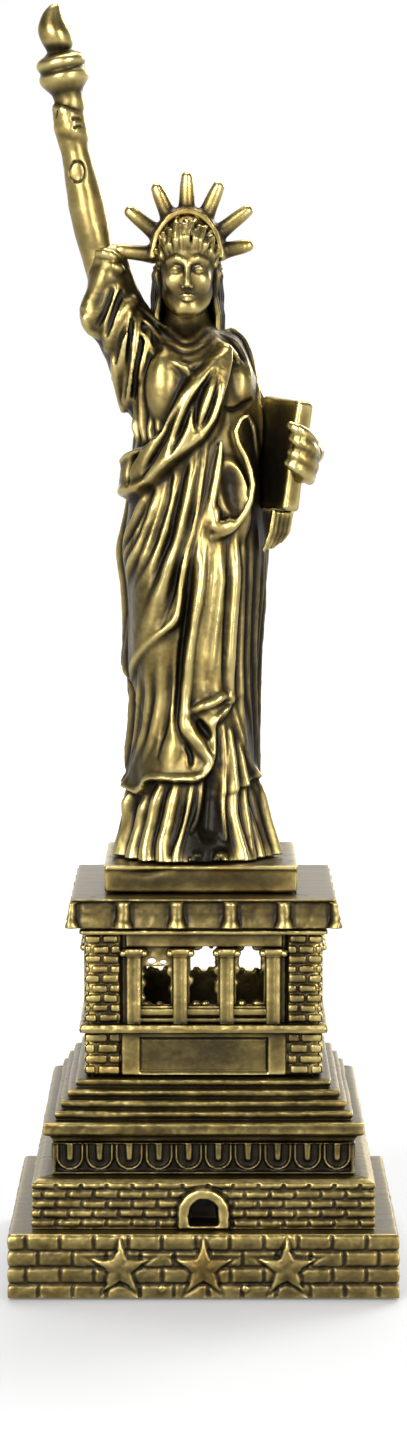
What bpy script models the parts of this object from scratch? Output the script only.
"""Miniature torch-bearer statue on a brick-faced, stepped pedestal.

A desk souvenir of zinc alloy castings with an antique brass finish. The pedestal is a stack of
hollow castings clamped by screws from below; the figure is screwed to it through its plinth.

Sizes below are in millimetres: +Z up, the front faces -Y, and the origin is the centre of the
underside. finish() turns each piece into metres.
"""

import math

import bmesh
import bpy
from mathutils import Matrix, Vector

MM = 0.001
GAP = 0.3  # every joint face stands this far off its neighbour

# Driving dimensions
HEIGHT = 180.0
BASE_HALF = 27.3
WALL = 1.8  # usual thickness of a pedestal casting

# Pedestal levels, from the surface it stands on
PAD_TOP = 1.0
BASE_BOTTOM, BASE_TOP = 0.3, 9.3
GATE_TOP = 16.5
ARCADE_TOP = 21.0
CORNICE_BOTTOM, CORNICE_TOP = 22.1, 24.1
STEP_TOP = 29.5
SHAFT_BOTTOM, SHAFT_TOP = STEP_TOP + GAP, 50.6
CAP_TOP = 55.0
PLINTH_TOP = 59.0
FIGURE_BOTTOM = PLINTH_TOP + GAP

# Half widths of the square tiers
GATE_HALF = 24.0
ARCADE_HALF = 21.4
CORNICE_HALF = 22.45
STEP_HALVES = (20.7, 19.9, 18.95, 17.85)
SHAFT_HALF = 16.7
BAND_HALF = 17.6
CAP_HALF_LOW, CAP_HALF_HIGH = 18.8, 18.1
PLINTH_HALF = 13.7
PLINTH_X = -0.38

# Colonnade of each shaft wall
COLUMN_PITCH = 6.52
COLUMN_WIDTH = 2.04
CAPITAL_WIDTH = 3.62
COLONNADE_HALF = 11.3
PANEL_HALF = 8.75
BAY_COUNT = 3
COLUMN_COUNT = BAY_COUNT + 1

# Screws: head radius, head height, shank radius
FIGURE_SCREW = (2.6, 1.8, 1.4)
CAP_SCREW = (1.9, 1.4, 0.9)
BASE_SCREW = (2.2, 0.9, 1.1)
CAP_POST, CAP_POST_RADIUS = 11.2, 2.0
BASE_POST, BASE_POST_RADIUS = 15.0, 2.2
BASE_LEDGE = 3.4  # height of the ledge that the bottom plate pulls against

# The figure's own landmarks: (x, y, z)
CROWN_CENTRE = Vector((-2.4, -0.2, 144.3))
TORCH_LEAN = math.radians(10.8)
TABLET_FRONT = Vector((14.3, -7.6, 116.3))
TABLET_SIZE = (2.2, 9.5, 15.5)  # thickness, depth, height
TABLET_TURN = math.radians(33)
TABLET_LEAN = math.radians(7.8)

MATERIALS = {
    "antique_brass": ((0.27, 0.21, 0.085), 0.34, 1.0),
    "screw_steel": ((0.55, 0.55, 0.56), 0.3, 1.0),
    "felt": ((0.02, 0.06, 0.04), 0.95, 0.0),
}


def clear_scene():
    for obj in list(bpy.data.objects):
        bpy.data.objects.remove(obj, do_unlink=True)


def material(slot):
    """The slot's Principled material, made once."""
    found = bpy.data.materials.get(slot)
    if found:
        return found
    colour, roughness, metallic = MATERIALS[slot]
    made = bpy.data.materials.new(slot)
    made.use_nodes = True
    shader = made.node_tree.nodes["Principled BSDF"]
    shader.inputs["Base Color"].default_value = (*colour, 1.0)
    shader.inputs["Roughness"].default_value = roughness
    shader.inputs["Metallic"].default_value = metallic
    return made


# ---------------------------------------------------------------- solids, drawn in millimetres


def solid_from(mesh_builder, name="shape"):
    """A helper object holding the closed mesh in a bmesh, with its faces turned outwards."""
    bmesh.ops.recalc_face_normals(mesh_builder, faces=mesh_builder.faces)
    mesh = bpy.data.meshes.new(name)
    mesh_builder.to_mesh(mesh)
    mesh_builder.free()
    obj = bpy.data.objects.new(name, mesh)
    bpy.context.scene.collection.objects.link(obj)
    return obj


def rings_solid(rings, closed=False):
    """A solid through equal rings of points: capped at both ends, or closed round into a loop.
    A ring of one point ends the solid in a point."""
    bm = bmesh.new()
    loops = [[bm.verts.new(point) for point in ring] for ring in rings]
    pairs = list(zip(loops, loops[1:]))
    if closed:
        pairs.append((loops[-1], loops[0]))
    for lower, upper in pairs:
        count = max(len(lower), len(upper))
        for i in range(count if count > 1 else 0):
            j = (i + 1) % count
            sides = (lower[i % len(lower)], lower[j % len(lower)], upper[j % len(upper)], upper[i % len(upper)])
            bm.faces.new(dict.fromkeys(sides))
    if not closed:
        for loop in (loops[0], loops[-1]):
            if len(loop) > 2:
                bm.faces.new(loop)
    return solid_from(bm)


def square(half, z):
    """One point on the axis, or the four corners of a level square."""
    if half == 0:
        return [(0, 0, z)]
    return [(half, half, z), (-half, half, z), (-half, -half, z), (half, -half, z)]


def square_turned(profile, closed=True):
    """A (half width, z) profile carried round a square, as a lathe carries one round a circle."""
    return rings_solid([square(half, z) for half, z in profile], closed)


def box(low, high):
    x0, y0, z0 = low
    x1, y1, z1 = high
    plan = [(x0, y0), (x1, y0), (x1, y1), (x0, y1)]
    return rings_solid([[(x, y, z) for x, y in plan] for z in (z0, z1)])


def prism(plan, z0, z1):
    return rings_solid([[(x, y, z) for x, y in plan] for z in (z0, z1)])


def turned(profile, sides=16, centre=(0, 0)):
    """A (radius, z) profile turned about a vertical axis; its ends are capped."""
    cx, cy = centre
    steps = [2 * math.pi * i / sides for i in range(sides)]
    return rings_solid(
        [[(cx + r * math.cos(a), cy + r * math.sin(a), z) for a in steps] for r, z in profile]
    )


def cylinder(centre, radius, z0, z1, sides=16):
    return turned([(radius, z0), (radius, z1)], sides, centre)


def tube(stations, sides=14):
    """A solid of round sections (centre, radius), each square to the path through the centres."""
    centres = [Vector(centre) for centre, _ in stations]
    rings = []
    for i, (_, radius) in enumerate(stations):
        along = (centres[min(i + 1, len(centres) - 1)] - centres[max(i - 1, 0)]).normalized()
        across = along.cross(Vector((0, 1, 0))).normalized()
        depth = across.cross(along)
        angles = [2 * math.pi * k / sides for k in range(sides)]
        rings.append([centres[i] + radius * (math.cos(a) * across + math.sin(a) * depth) for a in angles])
    return rings_solid(rings)


def draped_loft(sections, sides=24, fullness=2.3):
    """A solid through level superelliptical sections (z, centre x, centre y, half width, half depth)."""
    rings = []
    for z, cx, cy, rx, ry in sections:
        ring = []
        for k in range(sides):
            a = 2 * math.pi * k / sides
            c, s = math.cos(a), math.sin(a)
            x = math.copysign(abs(c) ** (2 / fullness), c)
            y = math.copysign(abs(s) ** (2 / fullness), s)
            ring.append((cx + rx * x, cy + ry * y, z))
        rings.append(ring)
    return rings_solid(rings)


def ellipsoid(centre, radii, segments=16, rings=10):
    bm = bmesh.new()
    place = Matrix.Translation(centre) @ Matrix.Diagonal((*radii, 1))
    bmesh.ops.create_uvsphere(bm, u_segments=segments, v_segments=rings, radius=1, matrix=place)
    return solid_from(bm)


def merge(shapes):
    """Shapes that don't meet, as one object that a Boolean can take in one go."""
    bm = bmesh.new()
    for shape in shapes:
        bm.from_mesh(shape.data)
        bpy.data.objects.remove(shape, do_unlink=True)
    return solid_from(bm)


def combine(body, other, operation):
    """body with other joined to it or cut from it, as one plain mesh; other is used up."""
    step = body.modifiers.new("step", "BOOLEAN")
    step.operation = operation
    step.solver = "EXACT"
    step.object = other
    bpy.context.view_layer.update()
    graph = bpy.context.evaluated_depsgraph_get()
    mesh = bpy.data.meshes.new_from_object(body.evaluated_get(graph))
    body.modifiers.clear()
    body.data = mesh
    bpy.data.objects.remove(other, do_unlink=True)
    return body


def join(body, *others):
    for other in others:
        combine(body, other, "UNION")
    return body


def cut(body, *others):
    for other in others:
        combine(body, other, "DIFFERENCE")
    return body


def finish(name, solid, slot, at=(0, 0, 0), turn=0.0, smooth=None):
    """Names a solid as a node and puts it, in metres, at its place and turn about Z in degrees."""
    if solid.data.users == 1 and "in_metres" not in solid.data:
        solid.data.transform(Matrix.Scale(MM, 4))
        solid.data["in_metres"] = True
        solid.data.materials.clear()
        solid.data.materials.append(material(slot))
        if smooth is not None:
            solid.data.shade_smooth()
            solid.data.set_sharp_from_angle(angle=math.radians(smooth))
    solid.name = name
    solid.data.name = name if solid.data.users == 1 else solid.data.name
    solid.location = Vector(at) * MM
    solid.rotation_euler = (0, 0, math.radians(turn))
    solid.parent = bpy.data.objects["statuette"]
    return solid


def copies(first_name, solid, slot, places, smooth=None):
    """One node for each (name ending, place, turn), all sharing one mesh."""
    for i, (ending, at, turn) in enumerate(places):
        if i == 0:
            finish(f"{first_name}_{ending}", solid, slot, at, turn, smooth)
            continue
        twin = bpy.data.objects.new(f"{first_name}_{ending}", solid.data)
        bpy.context.scene.collection.objects.link(twin)
        finish(twin.name, twin, slot, at, turn)


def corners(half):
    """The four (x, y) places at this distance from both mid-planes."""
    return [(sx * half, sy * half) for sx in (-1, 1) for sy in (-1, 1)]


# ---------------------------------------------------------------- pedestal


def felt_pad():
    half, corner = 25.3, 1.5
    inner = half - corner
    plan = [(half, -inner), (half, inner), (inner, half), (-inner, half)]
    plan += [(-x, -y) for x, y in plan]
    return prism(plan, 0, PAD_TOP)


def bottom_plate():
    """The closing plate, with a counterbored hole for each base screw."""
    half = 25.3
    head, _, shank = BASE_SCREW
    low, high = PAD_TOP + GAP, BASE_LEDGE - GAP
    plate = box((-half, -half, low), (half, half, high))
    bores = [
        turned([(head + GAP, low - 1), (head + GAP, low + 1.3), (shank + GAP, low + 1.3), (shank + GAP, high + 1)],
               12, spot)
        for spot in corners(BASE_POST)
    ]
    return cut(plate, merge(bores))


def star(x, z, outer, y0, y1):
    """A five-pointed star in relief, its faces square to Y."""
    inner = outer * 0.42
    front = []
    for k in range(10):
        radius = inner if k % 2 else outer
        a = math.pi / 2 + k * math.pi / 5
        front.append((x + radius * math.cos(a), z + radius * math.sin(a)))
    return rings_solid([[(px, y, pz) for px, pz in front] for y in (y0, y1)])


def base_tier():
    """Lowest frame: an inward flange on top carries the gate tier."""
    frame = square_turned([
        (BASE_HALF, BASE_BOTTOM), (BASE_HALF, BASE_TOP), (21.8, BASE_TOP), (21.8, BASE_TOP - 1.5),
        (BASE_HALF - 2.7, BASE_TOP - 1.5), (BASE_HALF - 2.7, BASE_LEDGE), (BASE_HALF - 1.7, BASE_LEDGE),
        (BASE_HALF - 1.7, BASE_BOTTOM),
    ])
    front = -BASE_HALF
    middle = (BASE_BOTTOM + BASE_TOP) / 2
    relief = [star(x, middle, 3.5, front - 0.25, front + 0.8) for x in (-11.6, 0.0, 11.6)]
    studs = [box((x - 0.35, front - 0.2, 1.4), (x + 0.35, front + 0.8, 2.1)) for x in (-5.8, 5.8)]
    return join(frame, merge(relief + studs))


def arch(half_width, spring, foot, y0, y1, sides=8):
    """A round-headed upright slab: its arch springs at height spring above foot."""
    outline = [(-half_width, foot), (half_width, foot)]
    for k in range(sides + 1):
        a = math.pi * k / sides
        outline.append((half_width * math.cos(a), spring + half_width * math.sin(a)))
    return rings_solid([[(x, y, z) for x, z in outline] for y in (y0, y1)])


def gate_tier():
    """Second frame, with the arched doorway in its front. Its lip drops into the base tier."""
    low = BASE_TOP + GAP
    frame = square_turned([
        (GATE_HALF, low), (GATE_HALF, GATE_TOP), (19.4, GATE_TOP), (19.4, GATE_TOP - 1.5),
        (GATE_HALF - WALL, GATE_TOP - 1.5), (GATE_HALF - WALL, low + 1.4), (20.2, low + 1.4),
        (20.2, low - 1.5), (21.5, low - 1.5), (21.5, low),
    ])
    front = -GATE_HALF
    spring = low + 2.2
    surround = arch(3.8, spring - 0.2, low, front - 0.8, front + 0.5)
    join(frame, surround)
    recess = arch(1.95, spring, low + 0.4, front - 2, front + 0.9)
    cut(frame, recess)
    return cut(frame, arch(1.35, spring, low + 0.8, front - 2, front + 5, 6))


def arcade_tier():
    """Third frame, behind the row of niches. Its lip drops into the gate tier."""
    low = GATE_TOP + GAP
    return square_turned([
        (ARCADE_HALF, low), (ARCADE_HALF, ARCADE_TOP), (ARCADE_HALF - WALL, ARCADE_TOP),
        (ARCADE_HALF - WALL, low + 1.4), (17.9, low + 1.4), (17.9, low - 1.5), (19.1, low - 1.5), (19.1, low),
    ])


def step_tier():
    """Cornice and four steps over a hollow. Four posts reach down to the bottom plate."""
    low = ARCADE_TOP + GAP
    rise = (STEP_TOP - CORNICE_TOP) / len(STEP_HALVES)
    profile = [(21.2, low), (21.5, CORNICE_BOTTOM), (CORNICE_HALF, CORNICE_BOTTOM), (CORNICE_HALF, CORNICE_TOP)]
    for k, half in enumerate(STEP_HALVES):
        profile += [(half, CORNICE_TOP + k * rise), (half, CORNICE_TOP + (k + 1) * rise)]
    plate = STEP_TOP - 1.5
    profile += [(0, STEP_TOP), (0, plate)]
    profile += [(16.2, plate), (18.1, CORNICE_TOP), (18.1, low - 1.4), (19.3, low - 1.4), (19.3, low)]
    shell = square_turned(profile)
    posts = [cylinder(spot, BASE_POST_RADIUS, BASE_LEDGE, plate + 0.7, 12) for spot in corners(BASE_POST)]
    join(shell, merge(posts))
    _, _, base_shank = BASE_SCREW
    _, _, cap_shank = CAP_SCREW
    threads = [cylinder(spot, base_shank + GAP, BASE_LEDGE - 1, BASE_LEDGE + 10.5, 10) for spot in corners(BASE_POST)]
    holes = [cylinder(spot, cap_shank + GAP, plate - 1, STEP_TOP + 1, 10) for spot in corners(CAP_POST)]
    return cut(shell, merge(threads + holes))


def mitred(outer, inner, z0, z1):
    """A level slab of the front wall, its ends cut at 45 degrees to meet the side walls."""
    trim = GAP / 2 * math.sqrt(2)
    plan = [(-outer + trim, -outer), (outer - trim, -outer), (inner - trim, -inner), (-inner + trim, -inner)]
    return prism(plan, z0, z1)


def shaft_wall():
    """One of four like walls: brick piers at the ends, a colonnade between, a blank panel below."""
    face = -SHAFT_HALF
    inner = SHAFT_HALF - WALL
    string_low, string_high = 35.8, 37.1
    sill, lintel = 40.2, 48.0
    rail_low, rail_high = 38.2, 39.3
    wall = mitred(SHAFT_HALF, inner, SHAFT_BOTTOM, SHAFT_TOP)
    cut(wall, box((-COLONNADE_HALF, face - 1, string_high), (COLONNADE_HALF, face + 1.0, lintel)))
    cut(wall, box((-PANEL_HALF, face - 1, 30.6), (PANEL_HALF, face + 0.4, 35.2)))
    opening = 1.95
    bays = [(k - (BAY_COUNT - 1) / 2) * COLUMN_PITCH for k in range(BAY_COUNT)]
    cut(wall, merge([box((x - opening, face - 1, sill), (x + opening, face + 3, lintel)) for x in bays]))
    columns = [(k - (COLUMN_COUNT - 1) / 2) * COLUMN_PITCH for k in range(COLUMN_COUNT)]
    half = COLUMN_WIDTH / 2
    cap_half = CAPITAL_WIDTH / 2
    shafts = [box((x - half, face, string_high - 0.2), (x + half, face + 1.2, lintel + 0.2)) for x in columns]
    capitals = [box((x - cap_half, face - 0.3, 46.6), (x + cap_half, face + 1.2, 47.9)) for x in columns]
    join(wall, merge(shafts), merge(capitals))
    join(wall, box((-COLONNADE_HALF - 0.2, face + 0.4, rail_low), (COLONNADE_HALF + 0.2, face + 1.2, rail_high)))
    join(wall, mitred(BAND_HALF, inner + 0.6, string_low, string_high))
    join(wall, mitred(BAND_HALF, inner + 0.6, SHAFT_TOP - 0.8, SHAFT_TOP))
    return wall


def cap_casting():
    """Cornice slab with flared bosses; a rim and four posts on its underside hold the walls."""
    low = SHAFT_TOP + GAP
    plate = CAP_TOP - 1.5
    slab = square_turned([
        (CAP_HALF_LOW, low), (CAP_HALF_HIGH, CAP_TOP), (0, CAP_TOP), (0, plate),
        (13.4, plate), (13.4, low - 1.5), (14.6, low - 1.5), (14.6, low),
    ])
    along = (-18.2, -10.8, -3.5, 3.5, 10.8)
    spots = []
    for turn in range(4):
        spin = Matrix.Rotation(turn * math.pi / 2, 2)
        spots += [spin @ Vector((x, -18.2)) for x in along]
    top = CAP_TOP - 0.02
    bosses = [turned([(1.0, low + 0.02), (0.95, low + 0.5), (0.62, low + 1.1), (0.55, top)], 8, s) for s in spots]
    join(slab, merge(bosses))
    posts = [cylinder(spot, CAP_POST_RADIUS, STEP_TOP + GAP, plate + 0.7, 12) for spot in corners(CAP_POST)]
    join(slab, merge(posts))
    _, _, cap_shank = CAP_SCREW
    _, _, figure_shank = FIGURE_SCREW
    threads = [cylinder(spot, cap_shank + GAP, STEP_TOP - 1, STEP_TOP + 7, 10) for spot in corners(CAP_POST)]
    middle = cylinder((PLINTH_X, 0), figure_shank + GAP, plate - 1, CAP_TOP + 1, 12)
    return cut(slab, merge(threads + [middle]))


def plinth():
    low, edge = CAP_TOP + GAP, 0.35
    half = PLINTH_HALF
    slab = square_turned([(half, low), (half, PLINTH_TOP - edge), (half - edge, PLINTH_TOP)], closed=False)
    return cut(slab, cylinder((0, 0), FIGURE_SCREW[2] + GAP, low - 1, PLINTH_TOP + 1, 12))


def screw(sizes, length, sides=12):
    """A pan-head screw, head down, its bearing face at height 0, with a slot across the head."""
    head, depth, shank = sizes
    body = turned([(head - 0.3, -depth), (head, -depth + 0.3), (head, 0), (shank, 0), (shank, length)], sides)
    slot = box((-head - 1, -0.25, -depth - 1), (head + 1, 0.25, -depth * 0.55))
    return cut(body, slot)


def washer(sizes, thickness=0.5, sides=16):
    head, _, shank = sizes
    ring = turned([(head + 0.8, 0), (head + 0.8, thickness)], sides)
    return cut(ring, cylinder((0, 0), shank + GAP, -1, thickness + 1, sides))


# ---------------------------------------------------------------- figure


def tablet(grow=0.0):
    """The slab held against the forearm, standing on edge; grow widens it on every side."""
    thickness, depth, height = TABLET_SIZE
    slab = box((-thickness / 2 - grow, -grow, -height / 2 - grow), (thickness / 2 + grow, depth + grow, height / 2 + grow))
    place = (
        Matrix.Translation(TABLET_FRONT)
        @ Matrix.Rotation(TABLET_LEAN, 4, "Y")
        @ Matrix.Rotation(TABLET_TURN, 4, "Z")
    )
    slab.data.transform(place)
    return slab


def arm_axis(t):
    """A point on the raised arm's axis, t millimetres up from the sleeve's mouth."""
    return Vector((-15.3 - 0.21 * t, 0.0, 145.0 + t))


def robed_figure():
    """Robe, head, raised sleeve and the bent arm with its hand, as one casting."""
    robe = draped_loft([
        (FIGURE_BOTTOM, -0.9, -1.2, 12.3, 11.3), (62.0, -0.9, -1.1, 11.5, 10.8), (66.0, -1.3, -1.0, 9.9, 9.8),
        (72.0, -1.6, -0.9, 9.7, 9.3), (80.0, -1.4, -0.8, 9.7, 9.0), (90.0, -1.2, -0.8, 9.9, 9.0),
        (100.0, -1.4, -0.8, 10.8, 9.2), (105.0, -1.5, -0.8, 10.7, 9.1), (110.0, -1.2, -0.8, 10.4, 8.8),
        (116.0, -1.0, -0.8, 9.9, 8.3), (121.0, -0.9, -0.7, 9.4, 7.8), (126.0, -1.2, -0.6, 9.0, 7.2),
        (131.0, -1.6, -0.3, 8.4, 6.2), (134.0, -2.0, 0.0, 6.4, 4.8), (136.0, -2.3, 0.0, 3.4, 3.4),
    ])
    sleeve = draped_loft([
        (118.0, -6.8, 0, 3.6, 4.2), (126.0, -8.8, 0, 4.5, 4.6), (131.0, -10.4, 0, 4.4, 4.6),
        (135.2, -12.7, 0, 4.8, 4.3), (138.0, -13.1, 0, 3.8, 3.9), (142.0, -13.7, 0, 3.3, 3.4),
        (145.4, -14.2, 0, 3.1, 3.1),
    ], sides=16)
    upper_arm = tube([((3.6, 0.6, 132.0), 3.4), ((6.0, 1.2, 127.0), 4.1), ((8.2, 2.4, 120.0), 3.8), ((9.4, 3.4, 115.0), 3.0)])
    forearm = tube([((8.0, 4.6, 117.2), 2.6), ((12.2, 3.4, 117.3), 2.4), ((15.1, -2.2, 117.0), 1.9), ((15.4, -5.4, 117.0), 1.5)])
    head = ellipsoid((-2.4, -0.8, 142.8), (4.6, 5.2, 7.6))
    nape = ellipsoid((-2.4, 2.6, 140.6), (3.8, 3.4, 4.4), 12, 8)
    neck = cylinder((-2.4, 0.0), 2.9, 131.0, 140.0, 12)
    hand = ellipsoid((15.0, -6.6, 116.9), (1.75, 2.5, 3.3), 12, 8)
    join(robe, sleeve, upper_arm, forearm, neck, head, nape, hand)
    socket = tube([(arm_axis(-3.8), 2.35), (arm_axis(3.0), 2.35)], 12)
    bore = cylinder((PLINTH_X, 0), FIGURE_SCREW[2] + GAP, FIGURE_BOTTOM - 1, FIGURE_BOTTOM + 7.5, 12)
    return cut(robe, socket, tablet(GAP), bore)


def torch_arm():
    """Bare forearm, hand and torch bowl. Its lower end sits in the sleeve's socket."""
    limb = [(arm_axis(t), radius) for t, radius in ((-3.3, 1.9), (1, 2.05), (6, 2.35), (11, 2.1), (15, 1.75), (18, 2.35), (21.5, 2.2))]
    arm = tube(limb)
    foot = Vector((-19.25, 0.0, 165.2))
    up = Vector((-math.sin(TORCH_LEAN), 0, math.cos(TORCH_LEAN)))
    bowl = tube([(foot + up * h, radius) for h, radius in (
        (0, 1.5), (2.6, 1.9), (3.6, 3.2), (4.4, 3.5), (5.0, 3.4), (5.25, 3.0), (5.5, 3.4), (6.9, 3.4), (7.1, 3.2))], 18)
    return join(arm, bowl)


def torch_flame():
    return tube([
        ((-20.5, 0, 172.95), 1.7), ((-20.7, 0, 173.6), 1.65), ((-21.0, 0, 174.4), 2.25), ((-21.2, 0, 175.4), 2.45),
        ((-21.5, 0, 176.9), 2.0), ((-21.3, 0, 178.3), 1.35), ((-20.8, 0, 179.3), 0.8), ((-20.7, 0, HEIGHT - 0.05), 0.3),
    ], 12)


def crown():
    """Upright diadem over the hair, with seven rays in one plane."""
    inner, outer = (4.95, 6.75), (5.5, 7.35)
    front, back = -1.5, 1.5
    band = bmesh.new()
    span = [math.radians(-8 + 196 * k / 20) for k in range(21)]
    sections = []
    for a in span:
        sections.append([
            band.verts.new(CROWN_CENTRE + Vector((rx * math.cos(a), y, rz * math.sin(a))))
            for (rx, rz), y in ((inner, front), (outer, front), (outer, back), (inner, back))
        ])
    for first, second in zip(sections, sections[1:]):
        for i in range(4):
            band.faces.new((first[i], first[(i + 1) % 4], second[(i + 1) % 4], second[i]))
    band.faces.new(sections[0])
    band.faces.new(sections[-1])
    diadem = solid_from(band)
    reaches = (9.2, 11.3, 11.5, 11.9, 11.3, 10.8, 9.0)
    for k, reach in enumerate(reaches):
        a = math.radians(90 + (k - 3) * 26.8)
        along = Vector((math.cos(a), 0, math.sin(a)))
        across = Vector((-math.sin(a), 0, math.cos(a)))
        depth = Vector((0, 1, 0))
        root = 1 / math.hypot(along.x / 5.2, along.z / 7.0)
        rings = []
        for distance, half in ((root, 0.95), (reach - 0.5, 0.6), (reach, 0.35)):
            middle = CROWN_CENTRE + along * distance
            rings.append([middle + across * (sx * half) + depth * (sy * half * 0.8) for sx, sy in ((-1, -1), (1, -1), (1, 1), (-1, 1))])
        join(diadem, rings_solid(rings))
    return diadem


# ---------------------------------------------------------------- assembly


def main():
    clear_scene()
    empty = bpy.data.objects.new("statuette", None)
    bpy.context.scene.collection.objects.link(empty)

    finish("felt_pad", felt_pad(), "felt")
    finish("bottom_plate", bottom_plate(), "antique_brass")
    finish("base_tier", base_tier(), "antique_brass")
    finish("gate_tier", gate_tier(), "antique_brass")
    finish("arcade_tier", arcade_tier(), "antique_brass")
    finish("step_tier", step_tier(), "antique_brass")
    sides = (("front", 0), ("right", 90), ("back", 180), ("left", 270))
    copies("wall", shaft_wall(), "antique_brass", [(name, (0, 0, 0), turn) for name, turn in sides])
    finish("cap", cap_casting(), "antique_brass")
    finish("figure_plinth", plinth(), "antique_brass", (PLINTH_X, 0, 0))

    finish("robed_figure", robed_figure(), "antique_brass", smooth=50)
    finish("torch_arm", torch_arm(), "antique_brass", smooth=50)
    finish("torch_flame", torch_flame(), "antique_brass", smooth=60)
    finish("crown", crown(), "antique_brass", smooth=40)
    finish("tablet", tablet(), "antique_brass")

    plate = CAP_TOP - 1.5
    washer_bottom = plate - GAP - 0.5
    finish("figure_washer", washer(FIGURE_SCREW), "screw_steel", (PLINTH_X, 0, washer_bottom), smooth=40)
    finish("figure_screw", screw(FIGURE_SCREW, 13.0), "screw_steel", (PLINTH_X, 0, washer_bottom - GAP), smooth=40)
    below_steps = STEP_TOP - 1.5 - GAP
    numbered = list(enumerate(corners(CAP_POST), 1))
    copies("cap_screw", screw(CAP_SCREW, 7.5, 10), "screw_steel", [(n, (x, y, below_steps), 0) for n, (x, y) in numbered], 40)
    in_plate = PAD_TOP + GAP + 1.3 - GAP
    numbered = list(enumerate(corners(BASE_POST), 1))
    copies("base_screw", screw(BASE_SCREW, 10.0, 10), "screw_steel", [(n, (x, y, in_plate), 0) for n, (x, y) in numbered], 40)


main()
